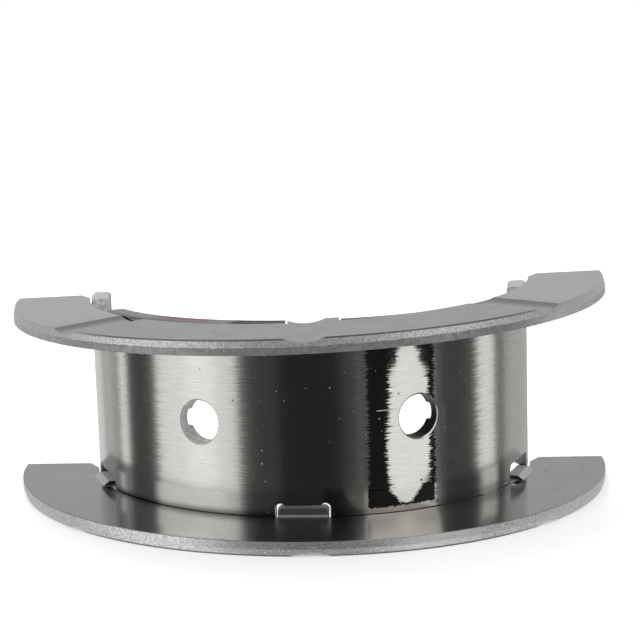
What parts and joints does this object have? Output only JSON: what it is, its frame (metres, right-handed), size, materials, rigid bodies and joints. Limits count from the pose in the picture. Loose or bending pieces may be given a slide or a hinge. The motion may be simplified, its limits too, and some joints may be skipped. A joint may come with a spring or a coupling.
{
  "type": "flanged main bearing half shell",
  "caption": "Half-round steel-backed main bearing shell with clip-on thrust flanges, oil holes and an oil groove; carries and axially locates an engine crankshaft.",
  "frame": {"origin": "on the bearing axis in the parting plane, at the middle of the shell's width", "axes": "+Z along the bearing axis, +X along the parting plane, -Y towards the back of the shell"},
  "size_m": [0.119, 0.0595, 0.0415],
  "materials": {
    "shell_steel": "burnished steel back, duller grey lining in the bore",
    "flange_steel": "smooth inner face, matt grey thrust face, sheared rim"
  },
  "bodies": {
    "root": {"bearing_shell": "shell_steel", "upper_thrust_flange": "flange_steel", "lower_thrust_flange": "flange_steel"}
  },
  "joints": []
}
